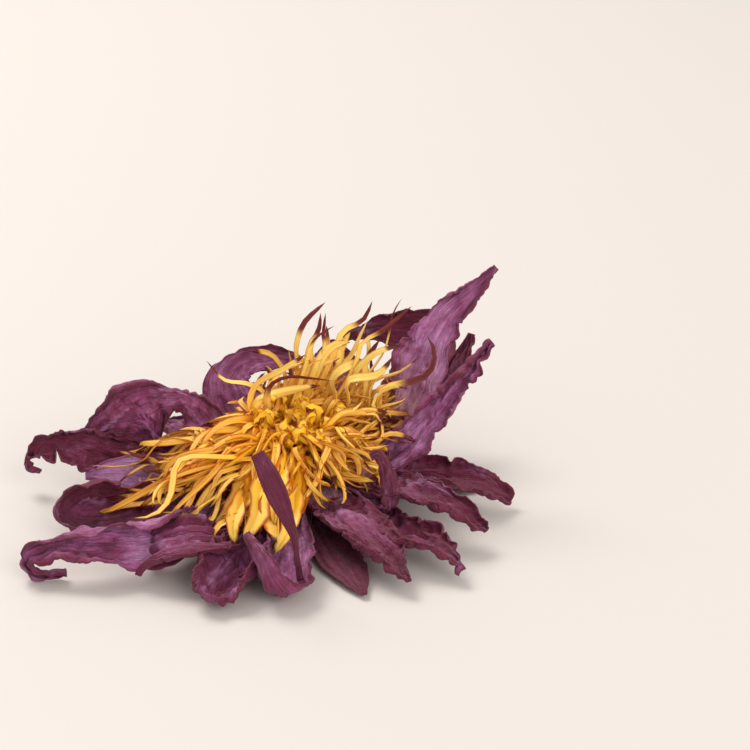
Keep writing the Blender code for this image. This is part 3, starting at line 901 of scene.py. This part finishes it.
def stamen_path(whorl, azimuth, chance):
    """A wavering way from the ovary to the stamen's tip."""
    end_azimuth = azimuth + round_table(SWINGS, azimuth) + chance.gauss(0, 26)
    reach = round_table(REACHES, end_azimuth)
    height = round_table(HEIGHTS, end_azimuth)
    reach = whorl.radius + (reach - whorl.radius) * (whorl.reach * chance.uniform(0.65, 1.1))
    if height > STANDS_FROM:
        height = whorl.height + (height - whorl.height) * whorl.reach * chance.uniform(0.5, 1.1)
    else:
        height += (1 - whorl.reach) * 9 + chance.uniform(-2.5, 3)
    tip = polar(reach, end_azimuth, max(height, 2.5)) + np.array([max(height - LEANS_FROM, 0) * LEAN, 0, 0])
    foot = polar(whorl.radius, azimuth, whorl.height)
    span = np.linalg.norm(tip - foot)
    outward = polar(1 - 0.7 * whorl.rear_up, azimuth, 0) * span * 0.36
    first = foot + outward + np.array([0, 0, 1 + whorl.rear_up * chance.uniform(3, 7.5)])
    away = polar(1, end_azimuth + chance.uniform(-70, 70), 0)
    away[2] = chance.uniform(-0.8, 0.1 if height < STANDS_FROM else 1.4)
    second = tip - away / np.linalg.norm(away) * min(span, 26) * chance.uniform(0.2, 0.5)
    return wavered((foot, first, second, tip), chance, chance.uniform(0.7, 2.1) * min(1.5, span / 17))


def crown_path(azimuth, chance):
    """A short, crumpled lobe that stands on the disc and leans over it, or away from it."""
    foot = polar(chance.uniform(2.6, 7.4), azimuth, 15.7)
    rise = chance.uniform(1.2, 5.5)
    turn = chance.uniform(-90, 90)
    first = foot + polar(chance.uniform(-1, 3), azimuth + turn, rise * 0.6)
    second = first + polar(chance.uniform(-3, 4), azimuth - turn, rise * 0.6)
    tip = second + polar(chance.uniform(-4, 4), azimuth + turn * 0.6, -rise * chance.uniform(0.0, 0.8))
    return wavered((foot, first, second, tip), chance, 0.9)


def petaloid_path(azimuth, chance):
    """A broad, petal-like stamen that folds down over the flower's front."""
    reach = chance.uniform(20, 34)
    foot = polar(7.9, azimuth, 14)
    first = polar(13, azimuth + chance.uniform(-8, 8), 14.5)
    second = polar(reach - 6, azimuth + chance.uniform(-6, 6), chance.uniform(8, 12))
    tip = polar(reach, azimuth + chance.uniform(-8, 8), chance.uniform(4.5, 7.5))
    return wavered((foot, first, second, tip), chance, 1.0)


def make_strap():
    """The stamen that all are copied from: a closed strap along X from 0 to 1, 2 wide in Y."""
    strap = new_grid("stamen_strap", STRAP_ROWS, STRAP_COLUMNS)
    places = grid_places(strap)
    shares = (places[:, 0] + 1) / 2
    closed = np.where((shares < 0.01) | (shares > 0.99), 0, 1)
    girth = places[:, 1] * math.pi  # from the middle of the underside over the top and back
    places = np.column_stack([shares, np.sin(girth) * closed, (np.cos(girth) * 0.16 - 0.05) * closed])
    strap.data.vertices.foreach_set("co", places.ravel())
    close_seams(strap, 0.00001)
    bpy.ops.object.shade_smooth()
    aside = np.abs(grid_places(strap)[:, 1])
    set_attribute(strap, "ridge", 1 - aside)
    for edge in strap.data.edges:
        first, second = (aside[i] for i in edge.vertices)
        edge.use_edge_sharp = abs(first - second) < 0.5
    return strap


def strap_widths(shares, broad):
    """How wide a stamen is along it, around 1: a broader foot, an even middle and a narrow tip."""
    foot = broad * np.exp(-((shares / 0.22) ** 2))
    return (1 - 0.8 * shares**9) * (0.9 + 0.2 * np.sin(shares * math.pi)) + foot


def lay_strap(strap, path, width, broad, twist, maroon, fold, bright=0.3, age=0.0, ragged=0.0):
    """A copy of the strap laid along the path; each copy has its own mesh."""
    copy = strap.copy()
    copy.data = strap.data.copy()
    bpy.context.collection.objects.link(copy)
    local = grid_places(copy)
    shares = local[:, 0]
    points, _ = evenly_along(path, PATH_STEPS + 1)
    ahead = points[1] - points[0]
    level = np.cross((0, 0, 1), ahead)
    ahead, across = frames_along(points, level / np.linalg.norm(level))
    across = turned(across, ahead, np.linspace(*twist, PATH_STEPS + 1))
    face = np.cross(ahead, across)
    steps = np.clip(shares, 0, 1) * PATH_STEPS
    low = np.minimum(steps.astype(int), PATH_STEPS - 1)
    rest = (steps - low)[:, None]

    def along(rows):
        return rows[low] * (1 - rest) + rows[low + 1] * rest

    uneven = 1 + ragged * np.sin(shares * 31 + points[0, 0] * 5)
    half = (strap_widths(shares, broad) * uneven * width / 2)[:, None]
    cup = (local[:, 1:2] ** 2) * fold * half
    deep = np.clip(1.15 - shares**4, 0.25, 1)[:, None]
    raised = along(face) * (local[:, 2:3] * deep + cup)
    places = along(points) + along(across) * local[:, 1:2] * half + raised
    set_places(copy, places)
    tip = np.clip((shares - 1 + maroon) / max(maroon, 0.01) * 2.5, 0, 1)
    set_attribute(copy, "maroon", tip if maroon else shares * 0)
    set_attribute(copy, "bright", np.full(len(shares), bright))
    # Above 0 a randomly oranger stamen; below 0 a paler one, which is painted backlight.
    set_attribute(copy, "age", np.full(len(shares), age))
    return copy


def join_pieces(pieces, name):
    deselect_all()
    for piece in pieces:
        piece.select_set(True)
    bpy.context.view_layer.objects.active = pieces[0]
    bpy.ops.object.join()
    joined = bpy.context.object
    joined.name = name
    joined.data.name = name
    return joined


def add_sheaf(index, strap, sizes, material):
    chance = random.Random(SHEAF_SEED + index)
    sector = 360 / SHEAF_COUNT
    width = sizes.stamen_width / MM
    stamens = []
    extra = LONG_EXTRA if index in LONG_SHEAVES else 0
    for whorl in WHORLS:
        count = whorl.count + extra
        for i in range(count):
            azimuth = (index - 0.5 + (i + 0.5) / count) * sector + chance.uniform(-4, 4)
            path = stamen_path(whorl, azimuth, chance)
            maroon = chance.uniform(0.12, 0.32) if chance.random() < whorl.maroon else 0
            twist = (chance.uniform(-40, 40), chance.uniform(-110, 110))
            broad = whorl.broad * chance.uniform(0.5, 1.3)
            own_width = width * chance.uniform(0.7, 1.25)
            fold = chance.uniform(-0.1, 1.0)
            # A random share here, for oranger stamens.
            age = chance.random() ** 1.5
            stamens.append(lay_strap(strap, path, own_width, broad, twist, maroon, fold, age=age))
    for tall in STANDING:
        if round(tall.azimuth / sector) % SHEAF_COUNT == index:
            path = (polar(7.4, tall.azimuth, 14), *np.array(tall.points, float))
            twist = (chance.uniform(-30, 30), chance.uniform(-120, 120))
            own_width = tall.width * TALL_WIDEN
            # -1 makes these tall stamens paler: painted backlight.
            stamens.append(lay_strap(strap, path, own_width, 0.7, twist, tall.maroon, 0.4, age=-1))
    for azimuth in PETALOID_AZIMUTHS:
        if round(azimuth / sector) % SHEAF_COUNT == index:
            path = petaloid_path(azimuth, chance)
            twist = (chance.uniform(-30, 30), chance.uniform(-70, 70))
            fold = chance.uniform(0.3, 1.5)
            petaloid = lay_strap(strap, path, chance.uniform(1.8, 4), 0.3, twist, 0, fold, 1.0, ragged=0.12)
            stamens.append(petaloid)
    piece = join_pieces(stamens, f"stamens_{index + 1:02d}_dry")
    finish_piece(piece, [f"stamens_{index + 1:02d}"], material)


def stamen_finish(colours):
    """Golden straps with orange grooves and edges, which are partly painted shade, a yellow foot and, on
    some, a maroon tip; the tall stamens made paler as painted backlight; amber on the disc.
    """
    finish = Finish(
        "stamen_gold",
        Metallic=0.0,
        Specular_IOR_Level=0.35,
        Subsurface_Weight=0.08,
        Subsurface_Radius=(1.0, 0.3, 0.04),
        Subsurface_Scale=0.0012,
    )
    place = finish.place()
    along, _ = finish.uv()
    ridge = finish.attribute("ridge")
    maroon = finish.attribute("maroon")
    bright = finish.attribute("bright")
    patches = finish.cloud(place, 260, 4, 0.6, 0.5)
    grain = finish.cloud(place, 2200, 3, 0.6)
    streaks = finish.cloud(finish.stretched(finish.laid_flat(), (2.5, 9, 1)), 1.2, 3, 0.6)
    # Ochre in the centre groove and at the edges, gold on the bands between: partly the strap's colour,
    # partly painted shade in its grooves.
    folds = (ridge * math.pi * 0.88).sine()
    raised = finish.spread(folds + (patches - 0.5) * 0.9 + (streaks - 0.5) * 0.8, 0.0, 0.75)
    body = finish.mix(raised, colours.stamen_ochre, colours.stamen_gold)
    foot = finish.spread(0.55 - along + bright * 0.35 + (patches - 0.5) * 0.6, 0.05, 0.5)
    body = finish.mix(foot * 0.75, body, colours.stamen_yellow)
    body = finish.mix(finish.spread(patches, 0.6, 0.85) * 0.4, body, colours.stamen_ochre)
    # Darker rim along the straps' edges: partly their orange edge, partly painted shade.
    rim = finish.spread(ridge, 0.38, 0.0)
    body = finish.mix(rim * 0.85, body, colours.stamen_rim)
    # Above 0 a stamen turns randomly oranger; below 0 it turns paler, as painted backlight.
    age = finish.attribute("age")
    body = finish.mix(age * 0.3, body, colours.stamen_ochre)
    body = finish.mix(finish.spread(age, 0.0, -1.0) * 0.45, body, colours.stamen_backlit_pale)
    body = finish.mix(finish.spread(bright, -0.5, DISC_BRIGHT) * 0.8, body, colours.disc_amber)
    body = finish.mix(finish.spread(maroon + (streaks - 0.5) * 0.5, 0.15, 0.7), body, colours.stamen_tip)
    finish.bump(folds * 0.6 + streaks * 0.4 + grain * 0.3, 0.00016, 0.6)
    return finish.finished(body, finish.spread(grain, 0.3, 0.7, 0.42, 0.62))


# ---------------------------------------------------------------- stigma disc and ovary


DISC_INSET = 1.2  # mm that the disc stays inside the ovary's rim


def add_disc(sizes, strap, material):
    """The sunken disc with its rays, and the lobes that curl up on it."""
    low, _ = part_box("stigma_disc")
    radius = OVARY_RADIUS - DISC_INSET
    bottom = low[2] / MM
    disc, angle, share = round_sheet("disc_sheet", 96, 14)
    rays = np.cos(angle * sizes.disc_rays)
    height = bottom + 0.5 + 1.3 * share**2 + 0.22 * rays * share
    set_places(disc, round_places(radius * share, angle, height))
    set_attribute(disc, "ridge", (rays + 1) / 2)
    close_seams(disc, 0.00001)
    apply_thickness(disc, sizes.disc_thickness)
    for name, value in (("maroon", 0.0), ("age", 0.0), ("bright", DISC_BRIGHT)):
        set_attribute(disc, name, np.full(len(disc.data.vertices), value))
    chance = random.Random(CROWN_SEED)
    lobes = []
    for i in range(CROWN_COUNT):
        azimuth = i / CROWN_COUNT * 360 + chance.uniform(-20, 20)
        twist = (chance.uniform(-40, 40), chance.uniform(-160, 160))
        width = chance.uniform(0.9, 2.6)
        fold = chance.uniform(-0.6, 0.9)
        path = crown_path(azimuth, chance)
        lobes.append(lay_strap(strap, path, width, 0.6, twist, 0, fold, 2.0, ragged=0.35))
    piece = join_pieces([disc, *lobes], "stigma_disc_dry")
    finish_piece(piece, ["stigma_disc"], material)


# The ovary's outline from the middle of its scar to the middle of its top: radius and height in mm.
OVARY_PROFILE = (
    (0.01, 0.0), (3.0, 0.0), (3.6, 0.05), (4.6, 0.6), (6.3, 2.4), (7.3, 5.5),
    (7.55, 9.5), (7.5, 13.5), (6.9, 15.1), (3.5, 15.3), (0.01, 15.3),
)
SCAR_RADIUS = 3.7  # mm: nearer the axis the ovary is smooth


def add_ovary(sizes, material):
    """The ribbed cup that everything grows from, with the flat scar below it."""
    cup, angle, share = round_sheet("ovary_dry", 120, 30)
    shape = np.array([through(OVARY_PROFILE, s) for s in share])
    ribs = np.cos(angle * sizes.ovary_ribs) * 0.12 * np.sin(share * math.pi) ** 2
    heights = shape[:, 1]
    around = zip(angle, heights, strict=True)
    rough = [noise_at(math.cos(a) * 3, math.sin(a) * 3, z * 0.6) for a, z in around]
    relief = (ribs + np.array(rough) * 0.15 - 0.1) * (shape[:, 0] > SCAR_RADIUS)
    radius = np.maximum(shape[:, 0] + relief, 0.0)
    set_places(cup, round_places(radius, angle, np.maximum(heights, 0)))
    close_seams(cup, 0.00002)
    bpy.ops.object.shade_smooth()
    finish_piece(cup, ["ovary"], material)


def ovary_finish(colours):
    finish = Finish("ovary_husk", Metallic=0.0, Specular_IOR_Level=0.3)
    place = finish.place()
    patches = finish.cloud(place, 240, 5, 0.6, 0.5)
    grain = finish.cloud(finish.stretched(place, (1, 1, 0.25)), 1500, 4, 0.6)
    body = finish.mix(finish.spread(patches, 0.35, 0.7), colours.ovary_brown, colours.ovary_light)
    body = finish.mix(finish.spread(grain, 0.5, 0.75) * 0.6, body, colours.ovary_dark)
    finish.bump(patches * 0.6 + grain * 0.5, 0.0003, 0.8)
    return finish.finished(body, finish.spread(grain, 0.3, 0.7, 0.6, 0.85))


# ---------------------------------------------------------------- stage


class Lamp(NamedTuple):
    """A square light, in m."""

    name: str
    place: tuple
    size: float
    share: float  # of the key light's power
    colour: tuple


LAMPS = (
    Lamp("key_light", (-0.45, 0.55, 0.95), 0.55, 1.0, (1.0, 0.97, 0.94)),
    Lamp("front_fill", (0.5, -0.7, 0.5), 0.6, 0.5, (1.0, 0.97, 0.95)),
)
LAMPS_AIM = (0, 0, 0.01)
SKY_COLOUR = (1.0, 0.965, 0.93)
FLOOR_RADIUS = 3.0
FLOOR_DROP = 0.0002  # m below the flower's lowest points
FLOOR_DARKER = 0.985  # of the floor's colour, where it is darkest


def add_area_light(name, place, aim, size, energy, colour):
    light = bpy.data.lights.new(name, "AREA")
    light.energy = energy
    light.size = size
    light.color = colour
    lamp = bpy.data.objects.new(name, light)
    bpy.context.scene.collection.objects.link(lamp)
    lamp.location = place
    lamp.rotation_euler = (Vector(aim) - Vector(place)).to_track_quat("-Z", "Y").to_euler()


def add_stage(stage, colours):
    deselect_all()
    bpy.ops.mesh.primitive_circle_add(
        vertices=96, radius=FLOOR_RADIUS, fill_type="NGON", location=(0, 0, -FLOOR_DROP)
    )
    floor = bpy.context.object
    floor.name = "floor"
    finish = Finish("floor_pale", Metallic=0.0)
    haze = finish.cloud(finish.place(), 3, 3)
    darker = tuple(FLOOR_DARKER * c for c in colours.floor)
    body = finish.mix(finish.spread(haze, 0.3, 0.7), colours.floor, darker)
    floor.data.materials.append(finish.finished(body, finish.spread(haze, 0.3, 0.7, 0.5, 0.6)))

    world = bpy.data.worlds.new("studio")
    world.use_nodes = True
    world.node_tree.nodes["Background"].inputs["Color"].default_value = (*SKY_COLOUR, 1)
    world.node_tree.nodes["Background"].inputs["Strength"].default_value = stage.sky
    scene = bpy.context.scene
    scene.world = world
    scene.view_settings.view_transform = "Standard"
    for lamp in LAMPS:
        energy = stage.key_energy * lamp.share
        add_area_light(lamp.name, lamp.place, LAMPS_AIM, lamp.size, energy, lamp.colour)

    target = Vector(AXIS) + Vector(stage.target)
    back = Vector((0, -math.cos(stage.elevation), math.sin(stage.elevation)))
    lens = bpy.data.cameras.new("camera")
    lens.lens = stage.lens
    lens.clip_start = 0.01
    camera = bpy.data.objects.new("camera", lens)
    scene.collection.objects.link(camera)
    camera.location = target + back * stage.distance
    camera.rotation_euler = (-back).to_track_quat("-Z", "Y").to_euler()
    scene.camera = camera


# ---------------------------------------------------------------- operators


class LotusAddPetals(bpy.types.Operator):
    """Add the dry petals in place of the plain ones."""

    bl_idname = "lotus.add_petals"
    bl_label = "Add Petals"

    def execute(self, context):
        scene = context.scene
        material = petal_finish("petal_dry", scene.lotus_colours)
        for seed, (name, petal) in enumerate(PETALS.items()):
            add_petal(name, petal, seed * 13.7 + 1.3, scene.lotus_sizes, material)
        return {"FINISHED"}


class LotusAddSepals(bpy.types.Operator):
    """Add the four dark sepals below the petals."""

    bl_idname = "lotus.add_sepals"
    bl_label = "Add Sepals"

    def execute(self, context):
        scene = context.scene
        material = petal_finish("sepal_dry", scene.lotus_colours, dark_share=0.55)
        for seed, (name, sepal) in enumerate(SEPALS.items()):
            add_petal(name, sepal, seed * 5.9 + 400, scene.lotus_sizes, material)
        return {"FINISHED"}


class LotusAddStamens(bpy.types.Operator):
    """Add the stamens and the stigma disc that they stand round."""

    bl_idname = "lotus.add_stamens"
    bl_label = "Add Stamens And Disc"

    def execute(self, context):
        scene = context.scene
        strap = make_strap()
        material = stamen_finish(scene.lotus_colours)
        for index in range(SHEAF_COUNT):
            add_sheaf(index, strap, scene.lotus_sizes, material)
        add_disc(scene.lotus_sizes, strap, material)
        bpy.data.objects.remove(strap, do_unlink=True)
        return {"FINISHED"}


class LotusAddOvary(bpy.types.Operator):
    """Add the ribbed ovary."""

    bl_idname = "lotus.add_ovary"
    bl_label = "Add Ovary"

    def execute(self, context):
        scene = context.scene
        add_ovary(scene.lotus_sizes, ovary_finish(scene.lotus_colours))
        return {"FINISHED"}


class LotusAddStage(bpy.types.Operator):
    """Add the floor, the light and the camera."""

    bl_idname = "lotus.add_stage"
    bl_label = "Add Stage"

    def execute(self, context):
        add_stage(context.scene.lotus_stage, context.scene.lotus_colours)
        return {"FINISHED"}


class LotusPanel(bpy.types.Panel):
    """Lists what builds the flower."""

    bl_idname = "LOTUS_PT_flower"
    bl_label = "Dried Lotus Flower"
    bl_space_type = "VIEW_3D"
    bl_region_type = "UI"
    bl_category = "Lotus"

    def draw(self, context):
        for operator in OPERATORS:
            self.layout.operator(operator.bl_idname)
        for group in (context.scene.lotus_sizes, context.scene.lotus_colours, context.scene.lotus_stage):
            box = self.layout.box()
            for setting in group.__annotations__:
                box.prop(group, setting)


OPERATORS = (LotusAddPetals, LotusAddSepals, LotusAddStamens, LotusAddOvary, LotusAddStage)
CLASSES = (FlowerSizes, FlowerColours, StageSettings, *OPERATORS, LotusPanel)


def register():
    for each in CLASSES:
        bpy.utils.register_class(each)
    bpy.types.Scene.lotus_sizes = bpy.props.PointerProperty(type=FlowerSizes)
    bpy.types.Scene.lotus_colours = bpy.props.PointerProperty(type=FlowerColours)
    bpy.types.Scene.lotus_stage = bpy.props.PointerProperty(type=StageSettings)


def unregister():
    del bpy.types.Scene.lotus_stage
    del bpy.types.Scene.lotus_colours
    del bpy.types.Scene.lotus_sizes
    for each in reversed(CLASSES):
        bpy.utils.unregister_class(each)


def main():
    register()
    bpy.ops.lotus.add_petals()
    bpy.ops.lotus.add_sepals()
    bpy.ops.lotus.add_stamens()
    bpy.ops.lotus.add_ovary()
    bpy.ops.lotus.add_stage()


if __name__ == "__main__":
    main()
